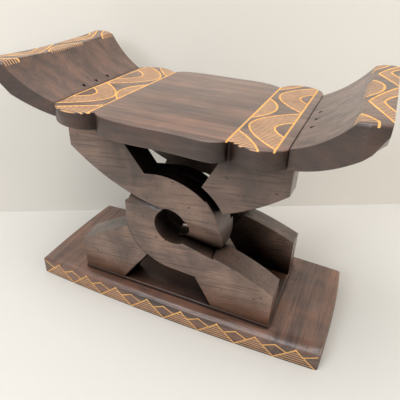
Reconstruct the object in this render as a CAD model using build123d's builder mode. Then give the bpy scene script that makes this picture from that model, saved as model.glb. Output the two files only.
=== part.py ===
from build123d import *
import os

# Ashanti stool of the wisdom-knot kind: a slab base, a thin foot board, two interlaced
# knots, one behind the other, and a seat of a flat centre slab with an upswept wing at
# each end. Millimetres, +Z up. The origin is the middle of the base's underside, +X runs
# along the seat and -Y is the front.

os.makedirs("parts", exist_ok=True)

# base slab: a rectangle whose four sides bow outwards a little, its front left corner drawn out
base_half_length = 277.0
base_half_depth = 114.0
base_long_corner = 280.0
base_end_bow = 4.5
base_side_bow = 8.5
base_thick = 33.0
base_corner = 6.0
base_top_round = 4.0
base_foot_edge = 0.5

# foot board between the base and the knots
board_half_length = 185.5
board_half_depth = 93.5
board_thick = 5.5
board_edge = 0.8

# seat: the slab's top, and the height at which the knots carry it; the slab thins towards
# its ends, and it was carved a little thinner on the left and fuller at the right rear
seat_top = 375.0
seat_under = 345.5
slab_half = 178.0
slab_corner_y = 123.0
right_thin_x = 145.0
right_end_under = 348.5
right_root_under = 346.5
left_step_under = 348.0
left_end_under = 352.8
notch_x = 103.0
notch_y = 126.0
notch_turn = 3.0
front_lobe = [(-94.0, 134.5), (-82.0, 139.5), (0.0, 143.6), (60.0, 145.3), (84.0, 145.0), (96.0, 139.5)]
back_lobe = [(-94.0, 135.5), (-82.0, 141.0), (0.0, 145.5), (82.0, 141.0), (94.0, 135.5)]
scallop_x = 141.0
scallop_y = 142.0
full_scallop_x = 152.0
full_scallop_y = 158.0
seat_edge_round = 2.0
joint_groove = 1.2

# wings: (distance from the middle, height) in side view
wing_root_y = 121.0
wing_flare_x = 262.0
wing_flare_y = 145.0
wing_tip_x = 283.0
wing_tip_y = 141.0
wing_end_bow = 1.0
wing_top = 431.5
wing_dip = (218.0, 397.5)
wing_crest = (249.0, 429.0)
wing_lip = (266.0, 431.5)
lip_round = 5.0
right_belly = (230.0, 366.0)
right_heel = (275.0, 401.0)
right_bevel = (268.0, 393.0)
right_bevel_high = 423.0
left_belly = (228.0, 373.3)
left_heel = (275.0, 407.0)
left_bevel = (247.0, 390.0)
left_bevel_high = 427.0
bevel_deep_y = 119.0
left_sag = 6.0

# a row of three triangular chip cuts beside each joint
chip_radius = 4.6
chip_floor = 371.0
chip_pitch = 33.5
right_chip = (191.0, -15.0)
left_chip = (-187.0, -5.0)

# knots: each one is two loops, woven over and under each other, and closed on the side
# opposite their arms; where they cross, one keeps the front and the other the back
knot_face = 93.0
knot_half = 184.0
band_thick = 43.0
over_thick = 28.0
back_swell = 10.0
band_draft = 6.0
face_bevel = 1.5
loop_z = 187.0
loop_inner = 29.5
loop_outer = 84.5
loop_crown = (8.0, 274.7)
loop_high = (60.0, 250.0)
loop_side = (72.0, 233.1)
loop_low = (66.0, 131.5)
loop_bottom = (4.0, 98.0)
eye_low = (22.0, 158.5)
eye_high = (16.0, 216.5)
arm_high_end = 295.0
arm_high_mid = (100.0, 242.0)
under_reach = 97.0
under_overlap = 15.0

# (distance from the middle, height) where the loops differ, having been carved by hand: the
# loops that open to the right, the front one that opens to the left, the back one
right_limbs = {
    "arm_end": 101.0,
    "arm_mid": (138.0, 125.0),
    "arm_knee": (79.0, 143.5),
    "heel": 79.0,
    "heel_in": (75.0, 47.0),
    "foot_crotch": (47.0, 95.0),
    "seat": 97.0,
    "seat_crotch": (46.0, 262.3),
}
left_limbs = {
    "arm_end": 102.0,
    "arm_mid": (131.5, 131.5),
    "arm_knee": (80.0, 161.5),
    "heel": 99.0,
    "heel_in": (94.0, 47.0),
    "foot_crotch": (49.0, 111.0),
    "seat": 107.0,
    "seat_crotch": (45.5, 273.7),
}
rear_limbs = {
    "arm_end": 109.0,
    "arm_mid": (139.0, 126.5),
    "arm_knee": (79.0, 143.5),
    "heel": 99.0,
    "heel_in": (94.0, 47.0),
    "foot_crotch": (49.0, 111.0),
    "seat": 107.0,
    "seat_crotch": (45.5, 273.7),
}

# where a loop dives below the other one: slopes across its closed end (the height where the
# slope starts, the height where it ends, how far back it gets), and dished cuts round the
# other loop's closed end
dive_start_z = 206.0
dive_end_z = 140.0
dive_depth = 31.0
rise_start_z = 211.0
rise_end_z = 240.0
rise_depth = 28.0
steep_radius = 102.5
steep_floor_radius = 90.0
gentle_radius = 128.0
gentle_depth = 4.0
cut_lead = 25.0

# pegs
peg_d = 12.0
foot_peg_x = 132.0
seat_peg_x = 145.0
peg_y = knot_face - band_thick / 2
foot_peg_low = 8.0
foot_peg_high = 74.0
seat_peg_low = 312.0
seat_peg_high = 364.0
wing_peg_d = 10.0
wing_peg_reach = 20.0
wing_peg_z = 362.5
wing_peg_y = 75.0

foot_z = base_thick + board_thick
carry_z = left_end_under + 2
span_z = (foot_z + carry_z) / 2
loop_axis = Axis((0, 0, loop_z), (0, 1, 0))
turn_back = Location((0, 0, 0), (0, 0, 180))
foot_peg_spots = [(foot_peg_x, -peg_y), (-foot_peg_x, -peg_y), (foot_peg_x, peg_y), (-foot_peg_x, peg_y)]
seat_peg_spots = [(seat_peg_x, -peg_y), (-seat_peg_x, -peg_y), (seat_peg_x, peg_y), (-seat_peg_x, peg_y)]


def finish(builder, label):
    builder.part.label = label
    export_step(builder.part, "parts/" + label + ".step")


# ---- base slab ----
with BuildPart() as base_slab:
    with BuildSketch():
        with BuildLine():
            front = ThreePointArc(
                (-base_long_corner, -base_half_depth),
                (0, -base_half_depth - base_side_bow),
                (base_half_length, -base_half_depth),
            )
            right = ThreePointArc(
                front @ 1,
                (base_half_length + base_end_bow, 0),
                (base_half_length, base_half_depth),
            )
            back = ThreePointArc(
                right @ 1,
                (0, base_half_depth + base_side_bow),
                (-base_half_length, base_half_depth),
            )
            ThreePointArc(back @ 1, (-base_half_length - base_end_bow, 0), front @ 0)
        make_face()
        fillet(vertices(), base_corner)
    extrude(amount=base_thick)
    fillet(faces().sort_by(Axis.Z)[-1].edges(), base_top_round)
    chamfer(faces().sort_by(Axis.Z)[0].edges(), base_foot_edge)
    with BuildSketch(Plane.XY.offset(foot_peg_low)):
        with Locations(*foot_peg_spots):
            Circle(peg_d / 2)
    extrude(amount=base_thick, mode=Mode.SUBTRACT)
finish(base_slab, "base_slab")

# ---- foot board ----
with BuildPart() as foot_board:
    with BuildSketch(Plane.XY.offset(base_thick)):
        Rectangle(2 * board_half_length, 2 * board_half_depth)
    extrude(amount=board_thick)
    chamfer(foot_board.faces().sort_by(Axis.Z)[-1].edges(), board_edge)
    with BuildSketch(Plane.XY.offset(base_thick)):
        with Locations(*foot_peg_spots):
            Circle(peg_d / 2)
    extrude(amount=board_thick, mode=Mode.SUBTRACT)
finish(foot_board, "foot_board")


# ---- knots ----
def loop_face(side, limbs):
    """Front view of one loop: side 1 opens towards +X, side -1 towards -X."""
    with BuildSketch() as view:
        with BuildLine():
            sole = Line((side * limbs["heel"], foot_z), (side * knot_half, foot_z))
            toe = Line(sole @ 1, (side * knot_half, limbs["arm_end"]))
            low_arm = ThreePointArc(
                toe @ 1,
                (side * limbs["arm_mid"][0], limbs["arm_mid"][1]),
                (side * limbs["arm_knee"][0], limbs["arm_knee"][1]),
            )
            to_eye = Line(low_arm @ 1, (side * eye_low[0], eye_low[1]))
            eye = ThreePointArc(to_eye @ 1, (-side * loop_inner, loop_z), (side * eye_high[0], eye_high[1]))
            high_arm = ThreePointArc(
                eye @ 1,
                (side * arm_high_mid[0], arm_high_mid[1]),
                (side * knot_half, arm_high_end),
            )
            shoulder = Line(high_arm @ 1, (side * knot_half, carry_z))
            top = Line(shoulder @ 1, (side * limbs["seat"], carry_z))
            neck = Line(top @ 1, (side * limbs["seat_crotch"][0], limbs["seat_crotch"][1]))
            crown = ThreePointArc(
                neck @ 1,
                (-side * loop_crown[0], loop_crown[1]),
                (-side * loop_high[0], loop_high[1]),
            )
            closed_end = ThreePointArc(
                crown @ 1,
                (-side * loop_side[0], loop_side[1]),
                (-side * loop_outer, loop_z),
            )
            round_under = ThreePointArc(
                closed_end @ 1,
                (-side * loop_low[0], loop_low[1]),
                (-side * loop_bottom[0], loop_bottom[1]),
            )
            under = Line(round_under @ 1, (side * limbs["foot_crotch"][0], limbs["foot_crotch"][1]))
            heel = Line(under @ 1, (side * limbs["heel_in"][0], limbs["heel_in"][1]))
            Line(heel @ 1, sole @ 0)
        make_face()
    return view.sketch


def square_cuts(side, limbs):
    """The openings that go square through a loop: the one under the seat, and the eye."""
    with BuildPart() as openings:
        with BuildSketch(Plane.XZ.offset(knot_face + 1)):
            with BuildLine():
                neck = Line(
                    (side * limbs["seat"], carry_z),
                    (side * limbs["seat_crotch"][0], limbs["seat_crotch"][1]),
                )
                crown = ThreePointArc(
                    neck @ 1,
                    (-side * loop_crown[0], loop_crown[1]),
                    (-side * loop_high[0], loop_high[1]),
                )
                wall = Line(crown @ 1, (-side * loop_high[0], carry_z))
                Line(wall @ 1, neck @ 0)
            make_face()
            with BuildLine():
                knee = Line(
                    (side * limbs["arm_knee"][0], limbs["arm_knee"][1]),
                    (side * eye_low[0], eye_low[1]),
                )
                eye = ThreePointArc(knee @ 1, (-side * loop_inner, loop_z), (side * eye_high[0], eye_high[1]))
                Line(eye @ 1, knee @ 0)
            make_face()
        extrude(amount=-(band_thick + back_swell + 2))
    return openings.part


def face_layer(side, limbs):
    """A loop in its full outline, from its face to its back, a little wider behind."""
    with BuildPart() as layer:
        with BuildSketch(Plane.XZ.offset(knot_face)):
            add(loop_face(side, limbs))
        with BuildSketch(Plane.XZ.offset(knot_face - face_bevel)):
            add(loop_face(side, limbs))
            offset(amount=face_bevel, kind=Kind.INTERSECTION)
        with BuildSketch(Plane.XZ.offset(knot_face - band_thick)):
            add(loop_face(side, limbs))
            offset(amount=band_draft, kind=Kind.INTERSECTION)
        loft(ruled=True)
        with BuildSketch(Plane.XZ.offset(knot_face)):
            with Locations((0, span_z)):
                Rectangle(2 * knot_half, carry_z - foot_z)
        extrude(amount=-band_thick, mode=Mode.INTERSECT)
        add(square_cuts(side, limbs), mode=Mode.SUBTRACT)
    return layer.part


def crossing_part(side, above, limbs, near, far):
    """The slice of a loop between two depths, over (1) or under (-1) the loops' centre."""
    with BuildPart() as part:
        add(face_layer(side, limbs))
        with BuildSketch(Plane.XZ.offset(knot_face - near)):
            with Locations((0, loop_z + above * seat_top)):
                Rectangle(4 * knot_half, 2 * seat_top)
        extrude(amount=near - far, mode=Mode.INTERSECT)
    return part.part


def under_layer(side, above, limbs, swell):
    """The swelling on a front loop's back, where it passes behind the other loop."""
    with BuildPart() as layer:
        with BuildSketch(Plane.XZ.offset(knot_face - band_thick)):
            add(loop_face(side, limbs))
            offset(amount=band_draft, kind=Kind.INTERSECTION)
            with Locations((0, loop_z)):
                Circle(under_reach, mode=Mode.INTERSECT)
            with Locations((0, loop_z + above * (knot_half - under_overlap))):
                Rectangle(2 * knot_half, 2 * knot_half, mode=Mode.INTERSECT)
        extrude(amount=-swell)
        add(square_cuts(side, limbs), mode=Mode.SUBTRACT)
    return layer.part


def cone_cut(radius, floor_radius, depth, side, above):
    """A dished cut round the other loop's closed end, deepest beside that loop."""
    with BuildPart() as cut:
        with BuildSketch(Plane.XY.offset(loop_z)):
            with BuildLine():
                Polyline(
                    (loop_outer - 1, -knot_face - 1),
                    (radius, -knot_face - 1),
                    (radius, -knot_face),
                    (floor_radius, -knot_face + depth),
                    (loop_outer - 1, -knot_face + depth),
                    close=True,
                )
            make_face()
        revolve(axis=loop_axis, revolution_arc=360)
        with BuildSketch(Plane.XZ.offset(knot_face + 2)):
            with Locations((side * (knot_half - cut_lead), loop_z + above * knot_half)):
                Rectangle(2 * knot_half, 2 * knot_half)
        extrude(amount=-knot_face, mode=Mode.INTERSECT)
    return cut.part


def slope_cut(side, start_z, end_z, depth):
    """A flat slope cut across a loop's closed end, from its face inwards."""
    with BuildPart() as cut:
        with BuildSketch(Plane.YZ):
            with BuildLine():
                Polyline(
                    (-knot_face, start_z),
                    (-knot_face - 1, start_z),
                    (-knot_face - 1, end_z),
                    (-knot_face + depth, end_z),
                    close=True,
                )
            make_face()
        extrude(amount=side * (loop_outer + 2 * band_draft))
    return cut.part


def peg(x, y, low, high):
    """An upright peg, also used as the tool for its hole."""
    with BuildPart() as pin:
        with BuildSketch(Plane.XY.offset(low)):
            with Locations((x, y)):
                Circle(peg_d / 2)
        extrude(amount=high - low)
    return pin.part


def wing_peg(end, y):
    """A level peg across the joint between the slab and one wing."""
    with BuildPart() as pin:
        with BuildSketch(Plane.YZ.offset(end * slab_half - wing_peg_reach)):
            with Locations((y, wing_peg_z)):
                Circle(wing_peg_d / 2)
        extrude(amount=2 * wing_peg_reach)
    return pin.part


def loop(side, above, limbs, other_limbs, swell):
    """One loop, facing the front. It runs behind the other above (1) or below (-1) the eye."""
    in_front = crossing_part(-side, above, other_limbs, -1, over_thick)
    behind = crossing_part(-side, -above, other_limbs, over_thick, band_thick + 1)
    with BuildPart() as band:
        add(face_layer(side, limbs))
        add(in_front, mode=Mode.SUBTRACT)
        add(behind, mode=Mode.SUBTRACT)
        if above > 0:
            add(cone_cut(steep_radius, steep_floor_radius, over_thick, side, 1), mode=Mode.SUBTRACT)
            add(slope_cut(-side, rise_start_z, rise_end_z, rise_depth), mode=Mode.SUBTRACT)
        else:
            add(cone_cut(gentle_radius, loop_outer, gentle_depth, side, -1), mode=Mode.SUBTRACT)
            add(slope_cut(-side, dive_start_z, dive_end_z, dive_depth), mode=Mode.SUBTRACT)
        if swell > 0:
            add(under_layer(side, above, limbs, swell))
        add(peg(side * foot_peg_x, -peg_y, foot_peg_low, foot_peg_high), mode=Mode.SUBTRACT)
        add(peg(side * seat_peg_x, -peg_y, seat_peg_low, seat_peg_high), mode=Mode.SUBTRACT)
    return band.part


with BuildPart() as seat_bed:
    with BuildSketch(Plane.XZ):
        with BuildLine():
            Polyline(
                (-knot_half - 2, left_end_under),
                (-slab_half, left_end_under),
                (-notch_x, left_step_under),
                (-notch_x, seat_under),
                (right_thin_x, seat_under),
                (slab_half, right_end_under),
                (slab_half, right_root_under),
                (knot_half + 2, right_root_under),
                (knot_half + 2, 2 * seat_top),
                (-knot_half - 2, 2 * seat_top),
                close=True,
            )
        make_face()
    extrude(amount=full_scallop_y + 5, both=True)

front_left = loop(1, 1, right_limbs, left_limbs, back_swell)
front_right = loop(-1, -1, left_limbs, right_limbs, back_swell)
rear_right = loop(1, 1, right_limbs, rear_limbs, 0).moved(turn_back)
rear_left = loop(-1, -1, rear_limbs, right_limbs, 0).moved(turn_back)

with BuildPart() as front_loop_left:
    add(front_left)
    add(seat_bed.part, mode=Mode.SUBTRACT)
finish(front_loop_left, "front_loop_left")

with BuildPart() as front_loop_right:
    add(front_right)
    add(seat_bed.part, mode=Mode.SUBTRACT)
finish(front_loop_right, "front_loop_right")

with BuildPart() as back_loop_right:
    add(rear_right)
    add(seat_bed.part, mode=Mode.SUBTRACT)
finish(back_loop_right, "back_loop_right")

with BuildPart() as back_loop_left:
    add(rear_left)
    add(seat_bed.part, mode=Mode.SUBTRACT)
finish(back_loop_left, "back_loop_left")


# ---- seat slab ----
def slab_side(facing, lobe, right_scallop):
    """One long side of the slab: a broad lobe between two small ones, notches between."""
    with BuildLine() as side:
        first = ThreePointArc(
            (-slab_half, facing * slab_corner_y),
            (-scallop_x, facing * scallop_y),
            (-notch_x, facing * notch_y),
        )
        curve = Spline(first @ 1, *[(x, facing * y) for x, y in lobe], (notch_x, facing * notch_y))
        ThreePointArc(curve @ 1, right_scallop, (slab_half, facing * slab_corner_y))
    return side.line


with BuildPart() as seat_slab:
    with BuildSketch(Plane.XY.offset(seat_under)):
        with BuildLine():
            add(slab_side(-1, front_lobe, (scallop_x, -scallop_y)))
            add(slab_side(1, back_lobe, (full_scallop_x, full_scallop_y)))
            Line((-slab_half, -slab_corner_y), (-slab_half, slab_corner_y))
            Line((slab_half, -slab_corner_y), (slab_half, slab_corner_y))
        make_face()
        fillet(vertices().filter_by(lambda v: abs(abs(v.X) - notch_x) < 1), notch_turn)
    extrude(amount=seat_top - seat_under)
    fillet(seat_slab.faces().sort_by(Axis.Z)[-1].edges(), seat_edge_round)
    add(seat_bed.part, mode=Mode.INTERSECT)
    for x, y in seat_peg_spots:
        add(peg(x, y, seat_peg_low, seat_peg_high), mode=Mode.SUBTRACT)
    for end in (-1, 1):
        for y in (-wing_peg_y, wing_peg_y):
            add(wing_peg(end, y), mode=Mode.SUBTRACT)
finish(seat_slab, "seat_slab")


# ---- wings ----
def tip_cut(end, facing, bevel, high_z, floor_z):
    """The block that is sawn obliquely off the under side of a wing's tip corner."""
    high = Vector(end * wing_tip_x, facing * wing_flare_y, high_z)
    inner = Vector(end * bevel[0], facing * wing_flare_y, bevel[1])
    deep = Vector(end * wing_tip_x, facing * bevel_deep_y, floor_z)
    outward = (deep - high).cross(inner - high) * (end * facing)
    with BuildPart() as block:
        with BuildSketch(Plane(origin=high, z_dir=outward)):
            Rectangle(2 * wing_flare_y, 2 * wing_flare_y)
        extrude(amount=wing_flare_y)
    return block.part


def wing_blank(end, root_under, belly, heel):
    """A wing as it comes off the saw: its side view, then its flared plan."""
    with BuildPart() as blank:
        with BuildSketch(Plane.XZ):
            with BuildLine():
                top = ThreePointArc(
                    (end * slab_half, seat_top),
                    (end * wing_dip[0], wing_dip[1]),
                    (end * wing_crest[0], wing_crest[1]),
                )
                lip = ThreePointArc(
                    top @ 1,
                    (end * wing_lip[0], wing_lip[1]),
                    (end * (wing_tip_x + 2), wing_top),
                )
                end_face = Line(lip @ 1, (end * (wing_tip_x + 2), heel[1]))
                foot = Line(end_face @ 1, (end * heel[0], heel[1]))
                under = ThreePointArc(
                    foot @ 1,
                    (end * belly[0], belly[1]),
                    (end * slab_half, root_under),
                )
                Line(under @ 1, top @ 0)
            make_face()
        extrude(amount=wing_flare_y + 5, both=True)
        with BuildSketch(Plane.XY.offset(seat_under)):
            with BuildLine():
                Polyline(
                    (end * wing_tip_x, -wing_tip_y),
                    (end * wing_flare_x, -wing_flare_y),
                    (end * slab_half, -wing_root_y),
                    (end * slab_half, wing_root_y),
                    (end * wing_flare_x, wing_flare_y),
                    (end * wing_tip_x, wing_tip_y),
                )
                ThreePointArc(
                    (end * wing_tip_x, wing_tip_y),
                    (end * (wing_tip_x + wing_end_bow), 0),
                    (end * wing_tip_x, -wing_tip_y),
                )
            make_face()
        extrude(amount=wing_top, mode=Mode.INTERSECT)
        root_top = blank.edges().filter_by(
            lambda e: abs(e.center().X) < slab_half + 1 and e.center().Z > seat_top - 1
        )
        chamfer(root_top, joint_groove)
    return blank.part


def wing_work(end, bevel, high_z, floor_z, chip):
    """What is taken off a wing by hand: the tip's corners, the chip cuts and the peg holes."""
    with BuildPart() as waste:
        for facing in (-1, 1):
            add(tip_cut(end, facing, bevel, high_z, floor_z))
        with BuildSketch(Plane.XY.offset(chip_floor)):
            with Locations(*[(chip[0], chip[1] + row * chip_pitch) for row in (-1, 0, 1)]):
                RegularPolygon(chip_radius, 3)
        extrude(amount=wing_top - chip_floor)
        for y in (-wing_peg_y, wing_peg_y):
            add(wing_peg(end, y))
    return waste.part


def lip_sides(edge):
    return edge.center().Z > wing_top - 3 and abs(edge.center().Y) > wing_tip_y


with BuildPart() as right_wing:
    add(wing_blank(1, right_root_under, right_belly, right_heel))
    fillet(right_wing.edges().filter_by(lip_sides), lip_round)
    add(wing_work(1, right_bevel, right_bevel_high, right_heel[1], right_chip), mode=Mode.SUBTRACT)
finish(right_wing, "right_wing")

with BuildPart() as left_wing:
    add(wing_blank(-1, left_end_under, left_belly, left_heel))
    fillet(left_wing.edges().filter_by(lip_sides), lip_round)
    # the left lip sags between its corners
    with BuildSketch(Plane.YZ.offset(-wing_tip_x - 5)):
        with BuildLine():
            sag = ThreePointArc((-wing_flare_y, wing_top), (0, wing_top - left_sag), (wing_flare_y, wing_top))
            Polyline(sag @ 1, (wing_flare_y, wing_top + 5), (-wing_flare_y, wing_top + 5), sag @ 0)
        make_face()
    extrude(amount=wing_tip_x - slab_half, mode=Mode.SUBTRACT)
    add(wing_work(-1, left_bevel, left_bevel_high, left_heel[1], left_chip), mode=Mode.SUBTRACT)
finish(left_wing, "left_wing")


# ---- pegs ----
with BuildPart() as foot_pegs:
    for x, y in foot_peg_spots:
        add(peg(x, y, foot_peg_low, foot_peg_high))
finish(foot_pegs, "foot_pegs")

with BuildPart() as seat_pegs:
    for x, y in seat_peg_spots:
        add(peg(x, y, seat_peg_low, seat_peg_high))
finish(seat_pegs, "seat_pegs")

with BuildPart() as wing_pegs:
    for end in (-1, 1):
        for y in (-wing_peg_y, wing_peg_y):
            add(wing_peg(end, y))
finish(wing_pegs, "wing_pegs")
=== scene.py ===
import math

import bmesh
import bpy
import numpy as np
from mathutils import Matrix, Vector, noise
from mathutils.geometry import delaunay_2d_cdt


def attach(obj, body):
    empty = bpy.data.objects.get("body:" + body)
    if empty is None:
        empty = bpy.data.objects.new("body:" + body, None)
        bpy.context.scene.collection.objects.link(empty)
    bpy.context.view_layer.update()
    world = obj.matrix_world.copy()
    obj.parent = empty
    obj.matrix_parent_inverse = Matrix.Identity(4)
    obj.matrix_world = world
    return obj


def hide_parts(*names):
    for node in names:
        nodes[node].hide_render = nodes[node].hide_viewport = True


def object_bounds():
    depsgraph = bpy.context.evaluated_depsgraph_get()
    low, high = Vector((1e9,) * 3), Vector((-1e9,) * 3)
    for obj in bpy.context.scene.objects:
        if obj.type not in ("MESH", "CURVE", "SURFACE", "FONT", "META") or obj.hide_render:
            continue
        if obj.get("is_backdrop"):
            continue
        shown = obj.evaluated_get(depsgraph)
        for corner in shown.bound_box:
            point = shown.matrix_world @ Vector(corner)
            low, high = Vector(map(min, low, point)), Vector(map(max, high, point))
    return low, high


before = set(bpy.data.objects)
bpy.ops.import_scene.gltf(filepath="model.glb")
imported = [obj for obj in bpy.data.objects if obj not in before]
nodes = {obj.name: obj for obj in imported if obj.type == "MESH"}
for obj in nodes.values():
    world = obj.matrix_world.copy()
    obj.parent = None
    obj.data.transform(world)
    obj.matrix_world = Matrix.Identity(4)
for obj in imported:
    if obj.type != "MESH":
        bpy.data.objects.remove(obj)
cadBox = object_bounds()
mm = 0.001
print("loaded", len(nodes), "pieces")


def scaled(pairs, side=1):
    # places given in mm, as metres, and mirrored in x where side is -1
    return [(side * x * mm, y * mm) for x, y in pairs]


# Shader helpers. Most add nodes with the material's own add and return the socket to use next.

def newMaterial(name):
    material = bpy.data.materials.new(name)
    material.use_nodes = True
    tree = material.node_tree
    tree.nodes.clear()

    def add(kind, **inputs):
        # an input goes by its name, with _ for a space, or by its number after one _
        node = tree.nodes.new("ShaderNode" + kind)
        for key, value in inputs.items():
            socket = node.inputs[int(key[1:])] if key[0] == "_" else node.inputs[key.replace("_", " ")]
            if isinstance(value, bpy.types.NodeSocket):
                tree.links.new(value, socket)
            else:
                socket.default_value = value
        return node

    return material, add


def rgba(colour):
    return (*colour, 1.0)


def ramp(add, factor, stops):
    node = add("ValToRGB", Fac=factor)
    band = node.color_ramp
    band.elements[0].position, band.elements[0].color = stops[0][0], rgba(stops[0][1])
    band.elements[1].position, band.elements[1].color = stops[-1][0], rgba(stops[-1][1])
    for place, colour in stops[1:-1]:
        band.elements.new(place).color = rgba(colour)
    return node.outputs["Color"]


def slope(add, value, span, first, last):
    # goes from first to last while the value crosses the span, and is level outside it
    node = add("MapRange", Value=value, _1=span[0], _2=span[1], _3=first, _4=last)
    return node.outputs["Result"]


def noiseOf(add, coords, pattern, shift=(0, 0, 0)):
    # a pattern is its scale per metre along x, y and z, its detail, roughness and distortion
    scale, detail, rough, distortion = pattern
    vector = add("Mapping", Vector=coords, Scale=scale, Location=shift).outputs["Vector"]
    node = add("TexNoise", Vector=vector, Scale=1.0, Detail=detail, Roughness=rough, Distortion=distortion)
    return node.outputs["Fac"]


def mixed(add, factor, first, second, blend="MIX"):
    node = add("MixRGB", Fac=factor, Color1=first, Color2=second)
    node.blend_type = blend
    return node.outputs["Color"]


def shaded(add, colour, shade):
    return mixed(add, 1.0, colour, shade, "MULTIPLY")


def maths(add, operation, first, second=0.5):
    node = add("Math", _0=first, _1=second)
    node.operation = operation
    return node.outputs["Value"]


def times(add, first, second):
    return maths(add, "MULTIPLY", first, second)


def openness(add, reach, samples):
    # 1 in the open, and less where something stands within reach
    node = add("AmbientOcclusion", Distance=reach)
    node.samples = samples
    return node.outputs["AO"]


def bumped(add, pattern, strength, height, **shape):
    node = add("Bump", Strength=strength, Distance=height, Height=pattern, **shape)
    return node.outputs["Normal"]


def surfaced(material, add, **inputs):
    shader = add("BsdfPrincipled", **inputs)
    add("OutputMaterial", Surface=shader.outputs["BSDF"])
    return material


# The stain of every piece, with its painted shade in recesses, creases and on some faces. Colours are
# linear, and the grain runs along the stool's length.
stainAndPaintedShade = {
    "deep": (0.004, 0.0028, 0.0024),  # painted shade in hollows and seams, and the dark of dents
    "dark": (0.030, 0.0155, 0.011),
    "body": (0.098, 0.050, 0.034),
    "red": (0.200, 0.078, 0.040),
    "rubbedAndHighlit": (0.27, 0.20, 0.155),  # on worn edges, with a painted highlight along them
    "tones": ((0.34, "dark"), (0.52, "body"), (0.74, "red")),  # along the streaks
    "streaks": ((2.4, 44.0, 44.0), 6.0, 0.62, 0.5),
    "pores": ((13.0, 330.0, 330.0), 3.0, 0.6, 0.1),
    "poreSpan": (0.36, 0.47),
    "poreDarkness": 0.55,
    "clouds": ((5.0, 11.0, 11.0), 3.0, 0.5, 0.6),
    "cloudSpan": (0.36, 0.72),
    "smoke": ((14.0, 11.0, 11.0), 4.0, 0.6, 0.4),
    "smokeSpan": (0.30, 0.70),
    "levelSpan": (0.25, 0.75),  # of the normal's height, from upright to level faces, for the painted shade of upright faces
    "frontalSpan": (0.35, 0.70),  # of the normal's y, for faces that turn to the front or the back; the others get painted shade
    "dents": ((100.0, 140.0, 140.0), 2.0, 0.5, 0.0),
    "dentRim": 0.05,
    "dentDarkness": 0.75,
    "edgePatches": ((38.0, 38.0, 38.0), 4.0, 0.6, 0.0),
    "edgePatchSpan": (0.48, 0.66),
    "wearAndHighlightStrength": 0.6,
    "edgeRound": 1.6 * mm,
    "edgeSamples": 6,
    "edgeSpan": (0.78, 0.97),  # of how far the rounded normal agrees with the true one
    # painted shade in recesses and creases, from ambient occlusion
    "shadeSamples": 8,
    "openAbove": 0.82,
    "corner": 9 * mm,
    "cornerSamples": 6,
    "cornerSpan": (0.35, 0.77),
    "waves": ((20.0, 28.0, 28.0), 2.0, 0.5, 0.0),
    "waveBump": (0.8, 2.2 * mm),
    "grainBump": (0.7, 0.4 * mm),
    "relief": {"streaks": 0.7, "pores": -0.5, "dents": -1.6},
    "roughness": (0.66, 0.42),  # in dark streaks and in pale ones
    "roughSpan": (0.3, 0.7),
    "specular": 0.4,
}

# What all woods share. Each kind of piece adds its own: a shift of the noise, how red it is, its lift
# (how pale it is), the figure of its streaks, the painted shade of its upright sides, and its shade reach
# (how far off other surfaces cast painted shade on it).
plainWood = {
    "tint": (1.0, 1.0, 1.0),
    "turn": 0.0,  # of the grain, in radians
    "smoke": 0.3,
    "across": 1.0,  # painted shade of the faces that turn neither to the front nor to the back
    # painted shade in creases, at its darkest
    "creviceShade": 0.28,
    "closed": 0.22,  # openness below which only the deep painted shade is left
    "dented": 0.80,  # higher for fewer dents
    "coat": 0.85,
    "coatRoughness": 0.27,
    "brushed": False,
    "rolled": False,
    "scallops": False,
    "feet": False,
    "seam": False,
}

# The base was stained with strokes across it at its two ends.
crossStrokes = {
    "ends": (180 * mm, 205 * mm),  # from the middle, where the strokes start and where they are full
    "streaks": ((60.0, 4.0, 60.0), 6.0, 0.62, 0.5),
    "pores": ((330.0, 13.0, 330.0), 3.0, 0.6, 0.1),
}


def strokedAcross(add, coords, outward, streaks, pores, shift):
    ends = slope(add, outward, crossStrokes["ends"], 0.0, 1.0)
    streaks = mixed(add, ends, streaks, noiseOf(add, coords, crossStrokes["streaks"], shift))
    pores = mixed(add, ends, pores, noiseOf(add, coords, crossStrokes["pores"]))
    return streaks, pores


# Painted shade in the scallops of the seat's sides, beside the joints.
scallopShading = {
    # mm from the middle of the seat, and how much painted shade is there
    "amounts": ((62.5, 0.0), (90, 0.35), (103, 0.85), (115, 0.6), (140, 0.12), (160, 0.3), (175, 0.7)),
    "span": 250.0,  # mm that the ramp covers
    "uprightSpan": (0.25, 0.60),
    "dulls": 0.85,
}


def shadeInScallops(add, outward, upward):
    span = scallopShading["span"]
    stops = [(place / span, (amount, amount, amount)) for place, amount in scallopShading["amounts"]]
    along = ramp(add, maths(add, "DIVIDE", outward, span * mm), stops)
    return times(add, along, slope(add, upward, scallopShading["uprightSpan"], 1.0, 0.0))


# The stain is thin and orange low on the feet, where their grain ends, and painted light makes the feet
# paler towards the bottom.
feetStainAndLight = {
    "orange": (0.170, 0.060, 0.022),
    "orangeBelow": (40 * mm, 85 * mm),  # full below the first height and gone above the second
    "orangeLeast": 0.22,
    # painted light: the feet are paler towards the bottom
    "pale": 1.45,
    "paleBelow": (60 * mm, 200 * mm),
}


def thinStainAndPaintedLightOnFeet(add, colour, height, clouds):
    colour = shaded(add, colour, slope(add, height, feetStainAndLight["paleBelow"], feetStainAndLight["pale"], 1.0))
    low = slope(add, height, feetStainAndLight["orangeBelow"], 1.0, 0.0)
    orange = times(add, low, maths(add, "ADD", clouds, feetStainAndLight["orangeLeast"]))
    return mixed(add, orange, colour, rgba(feetStainAndLight["orange"]))


# A painted shadow line where a foot passes behind the other loop.
seamShadow = {
    "loop": ((84.5, 187.0), (66.0, 131.5), (4.0, 98.0)),  # x and z on the loop's outside, in mm
    "reach": (3 * mm, 7 * mm),  # off the loop, where the line fades
    "below": (165 * mm, 172 * mm),
    "beyond": (40 * mm, 45 * mm),  # from the knot's middle
    "amount": 0.85,
}


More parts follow.
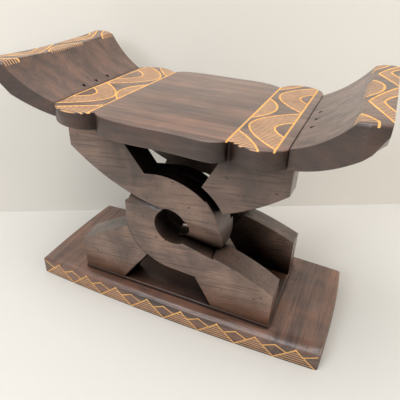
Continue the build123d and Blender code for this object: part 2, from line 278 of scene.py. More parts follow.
def circleThrough(a, b, c):
    # middle and radius of the circle through three points
    ax, ay, bx, by = a[0] - c[0], a[1] - c[1], b[0] - c[0], b[1] - c[1]
    whole = 2 * (ax * by - ay * bx)
    x = (by * (ax * ax + ay * ay) - ay * (bx * bx + by * by)) / whole
    y = (ax * (bx * bx + by * by) - bx * (ax * ax + ay * ay)) / whole
    return c[0] + x, c[1] + y, math.hypot(x, y)


def shadowInSeam(add, spot):
    middleX, middleZ, radius = circleThrough(*scaled(seamShadow["loop"]))
    footward = times(add, spot["X"], maths(add, "SIGN", spot["Y"]))  # the rear knot is turned half round
    seen = add("CombineXYZ", X=footward, Y=spot["Z"]).outputs["Vector"]
    away = add("VectorMath", _0=seen, _1=(middleX, middleZ, 0.0))
    away.operation = "DISTANCE"
    reach = [radius + gap for gap in seamShadow["reach"]]
    near = slope(add, away.outputs["Value"], reach, seamShadow["amount"], 0.0)
    below = slope(add, spot["Z"], seamShadow["below"], 1.0, 0.0)
    beyond = slope(add, footward, seamShadow["beyond"], 0.0, 1.0)
    return times(add, near, times(add, below, beyond))


# The front edge of the base is worn to a soft roll that widens to the right.
edgeRoll = {
    "front": 122.5 * mm,  # from the stool's middle to the front edge
    "bow": 0.111,  # metres that the edge draws back, per square metre of x
    "widening": (100 * mm, 270 * mm),
    "width": (16 * mm, 34 * mm),
    "height": 9 * mm,
}


def rolledEdge(add, spot, shape):
    drawn = times(add, times(add, spot["X"], spot["X"]), -edgeRoll["bow"])
    inset = maths(add, "ADD", maths(add, "ADD", spot["Y"], drawn), edgeRoll["front"])
    width = slope(add, spot["X"], edgeRoll["widening"], *edgeRoll["width"])
    left = maths(add, "SUBTRACT", 1.0, maths(add, "DIVIDE", inset, width))
    left.node.use_clamp = True
    roll = maths(add, "SUBTRACT", 1.0, times(add, left, left))
    return bumped(add, roll, 1.0, edgeRoll["height"], Normal=shape)


# stained wood, with painted shade, a painted highlight on edges and painted light on the feet worked into
# its colour
def stainedWoodWithPaintedShade(name, wood):
    look = stainAndPaintedShade
    shift = wood["shift"]
    material, add = newMaterial(name)
    coords = add("TexCoord").outputs["Object"]
    spot = add("SeparateXYZ", Vector=coords).outputs
    outward = maths(add, "ABSOLUTE", spot["X"])
    facing = add("NewGeometry").outputs["Normal"]
    normal = add("SeparateXYZ", Vector=facing).outputs
    upward = maths(add, "ABSOLUTE", normal["Z"])
    frontal = maths(add, "ABSOLUTE", normal["Y"])

    # the grain
    grain = add("VectorRotate", Vector=coords, Angle=wood["turn"])
    grain.rotation_type = "Y_AXIS"
    grain = grain.outputs["Vector"]
    streaks = noiseOf(add, grain, look["streaks"], shift)
    pores = noiseOf(add, grain, look["pores"], shift)
    if wood["brushed"]:
        streaks, pores = strokedAcross(add, coords, outward, streaks, pores, shift)
    tones = [(place, look[tone]) for place, tone in look["tones"]]
    colour = mixed(add, wood["figure"], rgba(look["body"]), ramp(add, streaks, tones))

    # red clouds and smoky patches
    clouds = noiseOf(add, grain, look["clouds"], shift)
    redder = slope(add, clouds, look["cloudSpan"], 0.0, wood["redness"])
    colour = mixed(add, redder, colour, rgba(look["red"]))
    smoky = noiseOf(add, coords, look["smoke"], shift)
    low, high = wood["lift"] * (1 - wood["smoke"]), wood["lift"] * (1 + wood["smoke"])
    colour = shaded(add, colour, slope(add, smoky, look["smokeSpan"], low, high))
    colour = shaded(add, colour, rgba(wood["tint"]))

    # painted shade by the way a face turns: upright faces, and faces turning neither front nor back, are
    # darker
    colour = shaded(add, colour, slope(add, upward, look["levelSpan"], wood["side"], 1.0))
    colour = shaded(add, colour, slope(add, frontal, look["frontalSpan"], wood["across"], 1.0))
    # painted shade in the scallops of the seat's sides
    if wood["scallops"]:
        scallopShade = shadeInScallops(add, outward, upward)
        colour = mixed(add, scallopShade, colour, rgba(look["deep"]))
    poreMask = slope(add, pores, look["poreSpan"], 1.0, 0.0)
    colour = mixed(add, times(add, poreMask, look["poreDarkness"]), colour, rgba(look["dark"]))
    # thin orange stain low on the feet, and painted light that makes them paler towards the bottom
    if wood["feet"]:
        colour = thinStainAndPaintedLightOnFeet(add, colour, spot["Z"], clouds)
    # painted shadow line where a foot passes behind the other loop
    if wood["seam"]:
        colour = mixed(add, shadowInSeam(add, spot), colour, rgba(look["deep"]))

    # small dents left by the knife
    dentSpan = (wood["dented"], wood["dented"] + look["dentRim"])
    dents = slope(add, noiseOf(add, coords, look["dents"], shift), dentSpan, 0.0, 1.0)
    colour = mixed(add, times(add, dents, look["dentDarkness"]), colour, rgba(look["deep"]))

    # edges are rubbed through and get a painted highlight, and recesses and creases get painted shade
    eased = add("Bevel", Radius=look["edgeRound"])
    eased.samples = look["edgeSamples"]
    eased = eased.outputs["Normal"]
    # the pale colour along edges is wear and a painted highlight
    alike = add("VectorMath", _0=eased, _1=facing)
    alike.operation = "DOT_PRODUCT"
    edge = slope(add, alike.outputs["Value"], look["edgeSpan"], look["wearAndHighlightStrength"], 0.0)
    patchy = slope(add, noiseOf(add, coords, look["edgePatches"]), look["edgePatchSpan"], 0.0, 1.0)
    colour = mixed(add, times(add, edge, patchy), colour, rgba(look["rubbedAndHighlit"]))
    # painted shade: the deep colour where other surfaces stand near, which also takes away the coat
    around = openness(add, wood["shadeReach"], look["shadeSamples"])
    unshaded = slope(add, around, (wood["closed"], look["openAbove"]), 0.0, 1.0)
    colour = mixed(add, unshaded, rgba(look["deep"]), colour)
    # painted shade in creases and where parts meet
    beside = openness(add, look["corner"], look["cornerSamples"])
    colour = shaded(add, colour, slope(add, beside, look["cornerSpan"], wood["creviceShade"], 1.0))
    # the scallops' painted shade also dulls their coat
    if wood["scallops"]:
        dulled = maths(add, "SUBTRACT", 1.0, times(add, scallopShade, scallopShading["dulls"]))
        unshaded = times(add, unshaded, dulled)

    # the relief, from the broad waves down to the pores
    shape = rolledEdge(add, spot, eased) if wood["rolled"] else eased
    shape = bumped(add, noiseOf(add, coords, look["waves"], shift), *look["waveBump"], Normal=shape)
    relief = look["relief"]
    heights = times(add, streaks, relief["streaks"])
    heights = maths(add, "ADD", heights, times(add, poreMask, relief["pores"]))
    heights = maths(add, "ADD", heights, times(add, dents, relief["dents"]))
    shape = bumped(add, heights, *look["grainBump"], Normal=shape)
    return surfaced(
        material,
        add,
        Base_Color=colour,
        Roughness=slope(add, streaks, look["roughSpan"], *look["roughness"]),
        Normal=shape,
        Coat_Normal=shape,
        Coat_Weight=times(add, unshaded, wood["coat"]),
        Coat_Roughness=wood["coatRoughness"],
        Specular_IOR_Level=times(add, unshaded, look["specular"]),
    )


# The bare wood in the cuts, dark to light, for the lines and for the hatching.
carvedWood = {
    "line": ((0.56, 0.28, 0.08), (0.74, 0.42, 0.13)),
    "hatch": ((0.40, 0.205, 0.095), (0.59, 0.34, 0.165)),
    "freshest": 1.12,  # times the light colour
    "tones": (0.34, 0.52, 0.70),
    "fine": ((90.0, 260.0, 260.0), 4.0, 0.6, 0.0),
    "broad": ((24.0, 24.0, 24.0), 3.0, 0.5, 0.0),
    "fineShare": 0.6,
    "roughSpan": (0.2, 0.8),
    "roughness": (0.55, 0.8),
    "bump": (0.6, 0.2 * mm),
}


def carvedMaterial(name, colours):
    look = carvedWood
    dark, light = colours
    fresh = tuple(min(1.0, part * look["freshest"]) for part in light)
    material, add = newMaterial(name)
    coords = add("TexCoord").outputs["Object"]
    fine = noiseOf(add, coords, look["fine"])
    broad = noiseOf(add, coords, look["broad"])
    share = look["fineShare"]
    blend = maths(add, "ADD", times(add, fine, share), times(add, broad, 1 - share))
    colour = ramp(add, blend, list(zip(look["tones"], (dark, light, fresh))))
    rough = slope(add, fine, look["roughSpan"], *look["roughness"])
    shape = bumped(add, fine, *look["bump"])
    return surfaced(material, add, Base_Color=colour, Roughness=rough, Normal=shape)


lineWood = carvedMaterial("carvedLine", carvedWood["line"])
hatchWood = carvedMaterial("carvedHatch", carvedWood["hatch"])
print("made the bare wood of the cuts")


# Carving. A piece is seen from above or from the front, and its grooves are paths in that plan.
views = {
    "above": {"plan": (0, 1), "depth": 2, "inward": Vector((0, 0, -1))},
    "front": {"plan": (0, 2), "depth": 1, "inward": Vector((0, 1, 0))},
}

lineKind, hatchKind = 1, 2  # also the numbers of their materials on the piece


def cleanMesh(node, weld=0.001 * mm):
    bm = bmesh.new()
    bm.from_mesh(nodes[node].data)
    bmesh.ops.remove_doubles(bm, verts=bm.verts, dist=weld)
    bm.normal_update()
    return bm


def seenIn(view, place):
    return Vector([place[k] for k in view["plan"]])


def fanOf(face):
    verts = face.verts[:]
    return [(verts[0], verts[i], verts[i + 1]) for i in range(1, len(verts) - 1)]


def heightIn(corners, tall, spot):
    # where a triangle's plane has the third coordinate above a spot of the plan
    (ax, ay), (bx, by), (cx, cy) = corners
    px, py = float(spot[0]), float(spot[1])
    whole = (by - cy) * (ax - cx) + (cx - bx) * (ay - cy)
    one = ((by - cy) * (px - cx) + (cx - bx) * (py - cy)) / whole
    two = ((cy - ay) * (px - cx) + (ax - cx) * (py - cy)) / whole
    share = [min(1.0, max(0.0, w)) for w in (one, two, 1 - one - two)]
    return sum(w * h for w, h in zip(share, tall)) / sum(share)


def covers(corners, spot, slack=0.0002 * mm):
    # whether a spot of the plan lies in a triangle, or just past its sides
    for (ax, ay), (bx, by) in zip(corners, corners[1:] + corners[:1]):
        wide, high = bx - ax, by - ay
        if wide * (spot[1] - ay) - high * (spot[0] - ax) < -slack * math.hypot(wide, high):
            return False
    return True


def groove(path, width, depth, kind):
    return {"path": [Vector(p) for p in path], "half": width / 2, "depth": depth, "kind": kind}


def lineGroove(path, cut):
    return groove(path, cut["line"], cut["lineDepth"], lineKind)


def distances(points, grooves, rim=0.999):
    # how deep each point lies in the grooves, and which kind is there: a line rather than a hatch
    deep = np.zeros(len(points))
    kind = np.zeros(len(points), int)
    for cut in grooves:
        line = np.array([[p.x, p.y] for p in cut["path"]])
        low, high = line.min(0) - cut["half"], line.max(0) + cut["half"]
        close = np.all((points >= low) & (points <= high), axis=1)
        if not close.any():
            continue
        spots = points[close]
        best = np.full(len(spots), np.inf)
        for a, b in zip(line[:-1], line[1:]):
            ahead = b - a
            share = np.clip(((spots - a) @ ahead) / max(ahead @ ahead, 1e-18), 0, 1)
            best = np.minimum(best, np.linalg.norm(spots - (a + share[:, None] * ahead), axis=1))
        near = np.full(len(points), np.inf)
        near[close] = best
        inside = near < cut["half"] * rim
        depth = np.where(inside, cut["depth"] * (1 - near / cut["half"]), 0)
        kind = np.where(inside & ((kind == 0) | (cut["kind"] < kind)), cut["kind"], kind)
        deep = np.maximum(deep, depth)
    return deep, kind


def stripEdges(cut, points, edges):
    # adds a groove's two sides, its middle and its ends to the points and edges of the plan
    path, half = cut["path"], cut["half"]
    first = len(points)
    for i, p in enumerate(path):
        ahead = path[min(i + 1, len(path) - 1)] - path[max(i - 1, 0)]
        side = Vector((-ahead.y, ahead.x)).normalized() * half
        points.extend((p + side, p, p - side))
    for i in range(len(path) - 1):
        for k in range(3):
            edges.append((first + 3 * i + k, first + 3 * (i + 1) + k))
    for i in (0, len(path) - 1):
        edges.append((first + 3 * i, first + 3 * i + 1))
        edges.append((first + 3 * i + 1, first + 3 * i + 2))


def splitBorder(edge, view, fresh, flat):
    # puts the plan's new spots on a border edge as vertices, in their order along it
    a, b = edge.verts
    origin, reach = a.co.copy(), b.co - a.co
    start = seenIn(view, a.co)
    full = seenIn(view, b.co) - start
    share = {i: (Vector(flat[i]) - start).dot(full) / full.length_squared for i in fresh}
    made = {}
    walk = a
    for i in sorted(fresh, key=share.get):
        link = next((x for x in walk.link_edges if x.other_vert(walk) is b), None)
        if link is None:
            break
        walk = bmesh.utils.edge_split(link, walk, 0.5)[1]
        walk.co = origin + reach * share[i]
        made[i] = walk
    return made


def layFlat(chosen, index, points, thinnest=1e-12):
    # the chosen faces as triangles of the plan with their sizes, without those that are seen edge on
    facets = []
    sizes = []
    for face in chosen:
        for tri in fanOf(face):
            a, b, c = (index[v] for v in tri)
            size = (points[b] - points[a]).cross(points[c] - points[a])
            if size > thinnest:
                facets.append([a, b, c])
                sizes.append(size)
    return facets, sizes


def facetsUnder(tris, middles, fromFacets, facets, sizes, plan):
    # the widest facet under each spot, and whether each new triangle lies in a facet at all
    under = {}
    inside = []
    for t, middle, origins in zip(tris, middles, fromFacets):
        origins = [f for f in origins if covers([plan[k] for k in facets[f]], middle)]
        inside.append(bool(origins))
        if origins:
            widest = max(origins, key=lambda f: sizes[f])
            for i in t:
                if i not in under or sizes[widest] > sizes[under[i]]:
                    under[i] = widest
    return under, inside


def carve(bm, view, wanted, grooves, apart=1e-7):
    # cuts V grooves into the wanted faces and leaves the mesh closed
    view = views[view]
    inward = view["inward"]
    chosen = [f for f in bm.faces if wanted(f)]
    picked = set(chosen)
    edgeList = list(dict.fromkeys(e for f in chosen for e in f.edges))
    vertList = list(dict.fromkeys(v for f in chosen for v in f.verts))
    index = {v: i for i, v in enumerate(vertList)}
    points = [seenIn(view, v.co) for v in vertList]
    plan = [tuple(p) for p in points]
    tall = [v.co[view["depth"]] for v in vertList]
    facets, sizes = layFlat(chosen, index, points)
    border = {}
    edges = []
    for e in edgeList:
        if sum(f in picked for f in e.link_faces) == 1:
            border[len(edges)] = e
            edges.append((index[e.verts[0]], index[e.verts[1]]))
    for cut in grooves:
        stripEdges(cut, points, edges)

    # new triangles that follow the border, the facets and the grooves
    result = delaunay_2d_cdt(points, edges, facets, 0, apart)
    spots, newEdges, tris, fromVerts, fromEdges, fromFacets = result
    flat = np.array([[p.x, p.y] for p in spots])
    middles = np.array([flat[list(t)].mean(0) for t in tris])
    deep = distances(flat, grooves)[0]
    kinds = distances(middles, grooves)[1]
    known = {}
    for i, origins in enumerate(fromVerts):
        for o in origins:
            if o < len(vertList):
                known[i] = vertList[o]
    onBorder = {}
    for (a, b), origins in zip(newEdges, fromEdges):
        for o in origins:
            if o in border:
                onBorder.setdefault(o, set()).update((a, b))
    under, inside = facetsUnder(tris, middles, fromFacets, facets, sizes, plan)

    # the old faces go, the border gets its new vertices, and the new faces come in
    bmesh.ops.delete(bm, geom=chosen, context="FACES_ONLY")
    loose = [e for e in edgeList if e.is_valid and not e.link_faces]
    for e in loose:
        bm.edges.remove(e)
    for o, members in onBorder.items():
        fresh = [i for i in members if i not in known]
        known.update(splitBorder(border[o], view, fresh, flat))
    rest = {i: v.co.copy() for i, v in known.items()}
    for i, p in enumerate(flat):
        # a new spot inside takes its height from the facet under it
        if i in known:
            known[i].co = rest[i] + inward * deep[i]
        elif i in under:
            facet = facets[under[i]]
            place = Vector((0.0, 0.0, 0.0))
            for k, value in zip(view["plan"], p):
                place[k] = value
            place[view["depth"]] = heightIn([plan[k] for k in facet], [tall[k] for k in facet], p)
            known[i] = bm.verts.new(place + inward * deep[i])
    for t, kind, kept in zip(tris, kinds, inside):
        corners = [known[i] for i in t] if kept else []
        if len(set(corners)) == 3:
            face = bm.faces.get(corners) or bm.faces.new(corners)
            face.material_index = int(kind)
    stray = [v for v in bm.verts if not v.link_faces]
    bmesh.ops.delete(bm, geom=stray, context="VERTS")

    # a hairline can stay open where facets are too thin to be told apart
    hairlines = [e for e in bm.edges if len(e.link_faces) == 1]
    if hairlines:
        bmesh.ops.holes_fill(bm, edges=hairlines, sides=0)
    bm.normal_update()


def finishPiece(bm, name, node, materials, sharpAngle=38.0, cutAngle=8.6):
    # shades the mesh with its sharp edges, and puts it in its node's place
    for f in bm.faces:
        f.smooth = True
    for e in bm.edges:
        if len(e.link_faces) == 2:
            one, two = e.link_faces
            turn = math.degrees(one.normal.angle(two.normal, 0.0))
            inCut = one.material_index and two.material_index and turn > cutAngle
            e.smooth = not (turn > sharpAngle or one.material_index != two.material_index or inCut)
    openEdges = sum(len(e.link_faces) != 2 for e in bm.edges)
    mesh = bpy.data.meshes.new(name)
    bm.to_mesh(mesh)
    bm.free()
    piece = bpy.data.objects.new(name, mesh)
    bpy.context.scene.collection.objects.link(piece)
    for material in materials:
        mesh.materials.append(material)
    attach(piece, "root")
    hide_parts(node)
    print("made", name, len(mesh.polygons), "faces,", openEdges, "open edges")


# The carved pattern of the seat and the wings: arches that stand on a band's outer side, a small one
# on its inner side, a curve across each corner, and hatching between them.

def straight(a, b):
    # x as a function of y along the line from a to b
    return lambda y: a[0] + (b[0] - a[0]) * (y - a[1]) / (b[1] - a[1])


def level(x):
    return lambda y: x


def archOn(foot, sizes, side):
    # the sizes are its middle, half its width and its reach in mm, and how square it is
    centre, half, reach, power = sizes
    reach = side * reach * mm
    return {"foot": foot, "centre": centre * mm, "half": half * mm, "reach": reach, "power": power}


def archPath(arch, steps=14):
    path = []
    for k in range(2 * steps + 1):
        share = math.sin((k / steps - 1) * math.pi / 2)
        y = arch["centre"] + arch["half"] * share
        path.append((arch["foot"](y) + arch["reach"] * (1 - abs(share) ** arch["power"]), y))
    return path


def archEdge(arch, y):
    share = abs((y - arch["centre"]) / arch["half"])
    return arch["foot"](y) + arch["reach"] * (1 - share ** arch["power"]) if share < 1 else None


def rows(start, end, pitch):
    while start < end:
        yield start
        start += pitch


def wobble(y, x, size=0.35 * mm, often=60.0, layer=3.7):
    return size * noise.noise(Vector((x * often, y * often, layer)))


def hatchLine(x0, x1, y, cut, part=12 * mm, shortest=1.2):
    # a groove with a slight wobble, unless it would be hardly longer than it is wide
    low, high = min(x0, x1), max(x0, x1)
    if high - low < cut["hatch"] * shortest:
        return None
    parts = max(2, int((high - low) / part) + 1)
    path = []
    for k in range(parts + 1):
        x = low + (high - low) * k / parts
        path.append((x, y + wobble(y, x)))
    return groove(path, cut["hatch"], cut["hatchDepth"], hatchKind)


def hatchRows(arch, cut):
    first = arch["centre"] - arch["half"] + cut["pitch"] * cut["firstInArch"]
    return rows(first, arch["centre"] + arch["half"], cut["pitch"])


def patternGrooves(band, cut, outer, inner, comb, side=1):
    # outer, inner and comb give x by y: where the big arches, the small one and its hatching start
    arches = [archOn(outer, sizes, side) for sizes in band["big"] + band["plain"]]
    small = archOn(inner, band["small"], side)
    corners = [scaled(band[name], side) for name in ("frontCorner", "rearCorner")]
    made = [lineGroove(path, cut) for path in [archPath(arch) for arch in arches + [small]] + corners]
    for big, plain in zip(arches[:2], arches[2:]):
        for y in hatchRows(big, cut):
            made.append(hatchLine(archEdge(big, y), archEdge(plain, y) or outer(y), y, cut))
    for y in hatchRows(small, cut):
        made.append(hatchLine(archEdge(small, y), comb(y), y, cut))
    for corner, way in zip(corners, (-1, 1)):
        spread = sorted((abs(y), x) for x, y in corner)
        first = spread[0][0] + cut["pitch"] * cut["firstInCorner"]
        for y in rows(first, band["hatchEnd"] * mm, cut["pitch"]):
            x = np.interp(y, [s[0] for s in spread], [s[1] for s in spread])
            made.append(hatchLine(comb(way * y), x, way * y, cut))
    return [g for g in made if g]


# The middle of the seat, with a carved band at each end. Places and arches are in mm.
seatPlan = {
    "wood": {
        **plainWood,
        "shift": (0.3, 0.1, 0.0),
        "redness": 0.6,
        "lift": 1.1,
        "figure": 1.0,
        "side": 0.6,
        "shadeReach": 60 * mm,
        "coat": 1.0,
        "coatRoughness": 0.22,
        "scallops": True,
    },
    "cut": {
        "line": 2.8 * mm,
        "lineDepth": 1.0 * mm,
        "hatch": 1.95 * mm,
        "hatchDepth": 0.7 * mm,
        "pitch": 4.4 * mm,
        "firstInArch": 0.6,  # of the pitch, before the first hatch line
        "firstInCorner": 0.5,
    },
    "above": 372.9,  # the cut faces lie above this height
    "facing": 0.1,  # and their normal's z is above this
    "overrun": 12,  # of a band's straight lines, past the seat's sides
    "right": {
        "outer": ((163.5, -131.0), (165.0, 160.0)),
        "inner": ((101.5, -127.0), (104.0, 127.0)),
        "big": ((-59.5, 71.0, -55.0, 1.8), (86.0, 71.0, -51.0, 1.8)),
        "plain": ((-59.0, 29.5, -20.0, 1.8), (87.0, 28.0, -17.5, 1.8)),
        "small": (11.0, 49.0, 24.0, 2.0),
        "frontCorner": ((103.0, -92.0), (115.0, -102.0), (126.0, -114.0), (136.0, -127.0), (146.0, -144.0)),
        "rearCorner": ((104.0, 114.0), (115.0, 125.0), (125.0, 137.0), (133.0, 150.0), (140.0, 163.0)),
        "hatchEnd": 170.0,
    },
    "left": {
        "outer": ((-177.5, -123.0), (-167.5, 131.0)),
        "inner": ((-109.0, -122.0), (-100.5, 125.0)),
        "big": ((-58.0, 63.0, 56.0, 1.8), (70.0, 70.0, 63.0, 1.8)),
        "plain": ((-57.0, 26.5, 23.0, 1.8), (68.5, 33.0, 29.0, 1.8)),
        "small": (-16.5, 45.0, -22.5, 2.0),
        "frontCorner": ((-110.0, -95.0), (-125.0, -107.0), (-143.0, -118.0), (-166.0, -133.0)),
        "rearCorner": ((-102.0, 93.0), (-113.0, 103.0), (-124.0, 117.0), (-134.0, 130.0), (-144.0, 147.0)),
        "hatchEnd": 170.0,
    },
}


def seatGrooves(band, points=9):
    cut, overrun = seatPlan["cut"], seatPlan["overrun"]
    outer, inner = straight(*scaled(band["outer"])), straight(*scaled(band["inner"]))
    made = []
    for line, (start, end) in ((outer, band["outer"]), (inner, band["inner"])):
        across = np.linspace(start[1] - overrun, end[1] + overrun, points)
        made.append(lineGroove([(line(y * mm), y * mm) for y in across], cut))
    return made + patternGrooves(band, cut, outer, inner, inner)


def onSeatTop(face):
    lowest = min(v.co.z for v in face.verts)
    return lowest > seatPlan["above"] * mm and face.normal.z > seatPlan["facing"]


def makeSeat():
    wood = stainedWoodWithPaintedShade("seatWood", seatPlan["wood"])
    seat = cleanMesh("seat_slab")
    carve(seat, "above", onSeatTop, seatGrooves(seatPlan["right"]) + seatGrooves(seatPlan["left"]))
    finishPiece(seat, "seatSlab", "seat_slab", [wood, lineWood, hatchWood])


# The two upswept ends of the seat, carved near their crests. The left one mirrors the right one's cuts.
wingPlan = {
    "wood": {
        **plainWood,
        "shift": (1.7, 0.6, 0.2),
        "redness": 0.2,
        "lift": 0.98,
        "figure": 0.7,
        "side": 0.58,
        "shadeReach": 60 * mm,
    },
    "cut": {**seatPlan["cut"], "hatch": 1.8 * mm, "pitch": 5.0 * mm},
    "crest": 249.0,
    "end": 287.0,
    "big": ((-60.0, 78.0, -34.0, 1.15), (81.0, 68.0, -31.5, 1.15)),
    "plain": ((-61.0, 37.0, -17.0, 1.5), (91.0, 30.0, -15.0, 1.5)),
    "small": (2.0, 42.0, 18.0, 2.2),
    "frontCorner": ((246.0, -108.0), (258.0, -121.0), (268.0, -134.0), (270.0, -150.0)),
    "rearCorner": ((246.0, 104.0), (258.0, 119.0), (264.0, 130.0), (271.0, 150.0)),
    "overhang": 4.5,  # of the hatching, down the slope from the crest
    "hatchEnd": 137.0,
    "margin": 8.0,  # of the cut faces, down the slope from the crest
    "above": 410.0,
    "facing": 0.3,
}


def wingGrooves(side):
    crest = wingPlan["crest"]
    lines = [level(side * x * mm) for x in (wingPlan["end"], crest, crest - wingPlan["overhang"])]
    return patternGrooves(wingPlan, wingPlan["cut"], *lines, side)


def onWingTop(face):
    middle = face.calc_center_median()
    nearCrest = abs(middle.x) > (wingPlan["crest"] - wingPlan["margin"]) * mm
    return nearCrest and middle.z > wingPlan["above"] * mm and face.normal.z > wingPlan["facing"]


def makeWings():
    wood = stainedWoodWithPaintedShade("wingWood", wingPlan["wood"])
    for side, node, name in ((1, "right_wing", "rightWing"), (-1, "left_wing", "leftWing")):
        wing = cleanMesh(node)
        carve(wing, "above", onWingTop, wingGrooves(side))
        finishPiece(wing, name, node, [wood, lineWood, hatchWood])


# The base, with a row of hatched triangles and plain diamonds along its front. Places are in mm.
basePlan = {
    "wood": {
        **plainWood,
        "shift": (4.1, 0.9, 0.5),
        "redness": 0.65,
        "lift": 1.4,
        "figure": 0.9,
        "tint": (0.99, 1.04, 1.10),
        "side": 0.75,
        "shadeReach": 25 * mm,
        "coat": 1.0,
        "coatRoughness": 0.22,
        "brushed": True,
        "rolled": True,
    },
    "cut": {
        "line": 2.2 * mm,
        "lineDepth": 0.9 * mm,
        "hatch": 1.7 * mm,
        "hatchDepth": 0.6 * mm,
        "pitch": 5.0 * mm,
        "firstRow": 0.5,  # of the pitch, above the low line
    },
    "period": 68.0,
    "firstPeak": -238.0,
    "peaks": 8,
    "low": 1.5,
    "high": 31.5,
    "middle": 19.5,
    "diamondTip": 1.5,  # how far the diamonds stop below the triangles' peaks
    "front": (-90.0, -0.3),  # the cut faces lie before this y, and their normal's y is below this
    "height": (1.5, 32.2),  # and their middles lie between these
}


def baseGrooves():
    cut = basePlan["cut"]
    low, high, middle, tipGap = (basePlan[name] * mm for name in ("low", "high", "middle", "diamondTip"))
    half = basePlan["period"] / 2 * mm
    shoulder = half * (middle - low) / (high - low)
    last = basePlan["peaks"] - 1
    made = []
    for k in range(-1, basePlan["peaks"]):
        # plain diamonds stand between the hatched triangles, and half of one at each end
        peak = (basePlan["firstPeak"] + k * basePlan["period"]) * mm
        tip = peak + half
        for side in [1] if k < 0 else [-1] if k == last else [-1, 1]:
            made.append(lineGroove([(tip, high - tipGap), (tip + side * shoulder, middle)], cut))
        if k < 0:
            continue
        for side in (-1, 1):
            made.append(lineGroove([(peak, high), (peak + side * half, low)], cut))
        for z in rows(low + cut["pitch"] * cut["firstRow"], high - cut["pitch"], cut["pitch"]):
            reach = half * (high - z) / (high - low)
            made.append(hatchLine(peak - reach, peak + reach, z, cut))
    return [g for g in made if g]


def onBaseFront(face):
    middle = face.calc_center_median()
    before, facing = basePlan["front"]
    low, high = basePlan["height"]
    return middle.y < before * mm and face.normal.y < facing and low * mm < middle.z < high * mm


def makeBase():
    wood = stainedWoodWithPaintedShade("baseWood", basePlan["wood"])
    base = cleanMesh("base_slab")
    carve(base, "front", onBaseFront, baseGrooves())
    finishPiece(base, "baseSlab", "base_slab", [wood, lineWood, hatchWood])


# The four loops of the two knots and the foot board, whose long corners the knife has taken off.
knotWood = {
    **plainWood,
    "shift": (2.2, 1.4, 0.8),
    "redness": 0.1,
    "lift": 1.40,
    "figure": 0.24,
    "tint": (0.95, 1.12, 1.19),
    "turn": 0.12,
    "smoke": 0.55,
    "side": 1.0,
    "across": 0.6,
    "shadeReach": 160 * mm,
    "closed": 0.40,
    "creviceShade": 0.1,
    "dented": 0.695,
    "feet": True,
}

knotPlan = {
    "woods": {
        "knotWood": knotWood,
        "paleKnotWood": {
            **knotWood,
            "shift": (3.1, 2.4, 1.3),
            "redness": 0.05,
            "lift": 1.56,
            "figure": 0.22,
            "seam": True,
        },
        "boardWood": {
            **plainWood,
            "shift": (5.2, 0.3, 0.7),
            "redness": 0.3,
            "lift": 0.8,
            "figure": 0.8,
            "side": 0.8,
            "shadeReach": 80 * mm,
        },
    },
    "pieces": (
        # node, name, wood, and how much of the corners is taken off
        ("front_loop_left", "frontLoopLeft", "knotWood", 2.1 * mm),
        ("front_loop_right", "frontLoopRight", "paleKnotWood", 2.1 * mm),
        ("back_loop_right", "backLoopRight", "knotWood", 2.1 * mm),
        ("back_loop_left", "backLoopLeft", "paleKnotWood", 2.1 * mm),
        ("foot_board", "footBoard", "boardWood", 1.0 * mm),
    ),
    "flatAngle": 0.2,  # degrees: faces that turn less become one
    "cornerAngle": 34.0,  # edges that turn more are eased
    "segments": 2,
    "profile": 0.6,
    "sharpAngle": 30.0,  # edges that still turn more look sharp
}


def easeCorners(piece, reach):
    flat = math.radians(knotPlan["flatAngle"])
    sharp = math.radians(knotPlan["cornerAngle"])
    bmesh.ops.dissolve_limit(piece, angle_limit=flat, verts=piece.verts, edges=piece.edges)
    corners = [e for e in piece.edges if len(e.link_faces) == 2 and e.calc_face_angle(0.0) > sharp]
    bmesh.ops.bevel(
        piece,
        geom=corners,
        offset=reach,
        offset_type="OFFSET",
        segments=knotPlan["segments"],
        profile=knotPlan["profile"],
        affect="EDGES",
        clamp_overlap=True,
    )
    piece.normal_update()


def makeKnots():
    woods = {name: stainedWoodWithPaintedShade(name, wood) for name, wood in knotPlan["woods"].items()}
    for node, name, wood, reach in knotPlan["pieces"]:
        piece = cleanMesh(node)
        easeCorners(piece, reach)
        finishPiece(piece, name, node, [woods[wood]], knotPlan["sharpAngle"])


# The pegs keep their own meshes and get plain wood.
pegPlan = {
    "nodes": ("foot_pegs", "seat_pegs", "wing_pegs"),
    "dark": (0.22, 0.12, 0.06),
    "light": (0.36, 0.22, 0.12),
    "tones": (0.3, 0.7),
    "grain": ((300.0, 300.0, 20.0), 4.0, 0.6, 0.0),
    "roughSpan": (0.2, 0.8),
    "roughness": (0.5, 0.75),
    "bump": (0.4, 0.2 * mm),
}


def pegMaterial():
    look = pegPlan
    material, add = newMaterial("pegWood")
    coords = add("TexCoord").outputs["Object"]
    grain = noiseOf(add, coords, look["grain"])
    colour = ramp(add, grain, list(zip(look["tones"], (look["dark"], look["light"]))))
    rough = slope(add, grain, look["roughSpan"], *look["roughness"])
    shape = bumped(add, grain, *look["bump"])
    return surfaced(material, add, Base_Color=colour, Roughness=rough, Normal=shape)


def colourPegs():
    peg = pegMaterial()
    for node in pegPlan["nodes"]:
        nodes[node].data.materials.clear()
        nodes[node].data.materials.append(peg)
    print("coloured the pegs")


# The room: a pale floor and a wall that can be seen through from behind.
roomPlan = {
    "floor": (0.62, 0.60, 0.56),
    "wall": (0.71, 0.675, 0.615),
    "roughness": 0.75,
    "wallStart": (-0.530, 0.0065),  # two spots on the wall's foot
    "wallEnd": (0.389, 0.511),
    "lean": 0.1,  # backward, per metre of height
    "size": 4.0,
    "height": 0.7,  # of the wall, as a share of the size
}


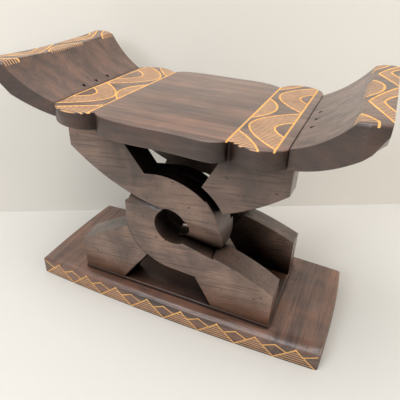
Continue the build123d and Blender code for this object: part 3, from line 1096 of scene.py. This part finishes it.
def paint(name, colour, seeThroughBack=False):
    material, add = newMaterial(name)
    surface = add("BsdfPrincipled", Base_Color=rgba(colour), Roughness=roomPlan["roughness"]).outputs["BSDF"]
    if seeThroughBack:
        back = add("NewGeometry").outputs["Backfacing"]
        clear = add("BsdfTransparent").outputs["BSDF"]
        surface = add("MixShader", Fac=back, _1=surface, _2=clear).outputs["Shader"]
    add("OutputMaterial", Surface=surface)
    return material


def sheet(name, corners, material):
    mesh = bpy.data.meshes.new(name)
    mesh.from_pydata(corners, [], [tuple(range(len(corners)))])
    mesh.materials.append(material)
    piece = bpy.data.objects.new(name, mesh)
    bpy.context.scene.collection.objects.link(piece)
    piece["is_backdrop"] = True


def buildRoom():
    size = roomPlan["size"]
    floor = [(-size, -size, 0), (size, -size, 0), (size, size, 0), (-size, size, 0)]
    sheet("floor", floor, paint("floorPaint", roomPlan["floor"]))
    start, end = Vector((*roomPlan["wallStart"], 0)), Vector((*roomPlan["wallEnd"], 0))
    along = (end - start).normalized() * size
    middle = (start + end) / 2
    lean = roomPlan["lean"]
    up = Vector((-along.y * lean, along.x * lean, size)) * roomPlan["height"]
    wall = [middle - along, middle + along, middle + along + up, middle - along + up]
    sheet("wall", wall, paint("wallPaint", roomPlan["wall"], seeThroughBack=True))
    print("built the floor and the wall")


lampPlan = {
    "overhead": {
        "place": (-0.2, -0.4, 2.4),
        "aim": (0.0, 0.0, 0.2),
        "size": 1.7,
        "power": 42.0,
        "tint": (0.97, 0.98, 1.0),
    },
    "window": {
        "place": (-0.6, -1.8, 1.3),
        "aim": (0.0, 0.0, 0.1),
        "size": 0.8,
        "power": 16.0,
        "tint": (0.9, 0.95, 1.0),
    },
    "right": {
        "place": (2.3, -0.2, 1.6),
        "aim": (0.0, 0.0, 0.1),
        "size": 1.6,
        "power": 26.0,
        "tint": (1.0, 0.97, 0.92),
    },
}

worldLight = {"colour": (1.0, 0.97, 0.93), "strength": 0.46}


def buildLight():
    for name, lamp in lampPlan.items():
        data = bpy.data.lights.new(name, "AREA")
        data.shape = "SQUARE"
        data.size = lamp["size"]
        data.energy = lamp["power"]
        data.color = lamp["tint"]
        piece = bpy.data.objects.new(name, data)
        piece.location = lamp["place"]
        aim = Vector(lamp["aim"]) - Vector(lamp["place"])
        piece.rotation_euler = aim.to_track_quat("-Z", "Y").to_euler()
        bpy.context.scene.collection.objects.link(piece)
    world = bpy.data.worlds.new("room")
    bpy.context.scene.world = world
    world.use_nodes = True
    background = world.node_tree.nodes["Background"]
    background.inputs["Color"].default_value = rgba(worldLight["colour"])
    background.inputs["Strength"].default_value = worldLight["strength"]
    print("placed", len(lampPlan), "lamps")


cameraPlan = {
    "place": (0.2583, -0.5861, 0.5818),
    "turn": (58.32037, -1.79692, 23.85640),  # degrees
    "lens": 37.1395,
    "sensor": 36.0,
    "nearest": 10 * mm,
}


def buildCamera():
    data = bpy.data.cameras.new("camera")
    data.sensor_width = cameraPlan["sensor"]
    data.sensor_fit = "HORIZONTAL"
    data.lens = cameraPlan["lens"]
    data.clip_start = cameraPlan["nearest"]
    piece = bpy.data.objects.new("camera", data)
    piece.location = cameraPlan["place"]
    piece.rotation_euler = [math.radians(a) for a in cameraPlan["turn"]]
    bpy.context.scene.collection.objects.link(piece)
    bpy.context.scene.camera = piece
    print("placed the camera")


makeSeat()
makeWings()
makeBase()
makeKnots()
colourPegs()
buildRoom()
buildLight()
buildCamera()
bpy.context.scene.view_settings.view_transform = "Standard"


def plain(box):
    return [[float(v) for v in corner] for corner in box]


{"cad": plain(cadBox), "visual": plain(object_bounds())}
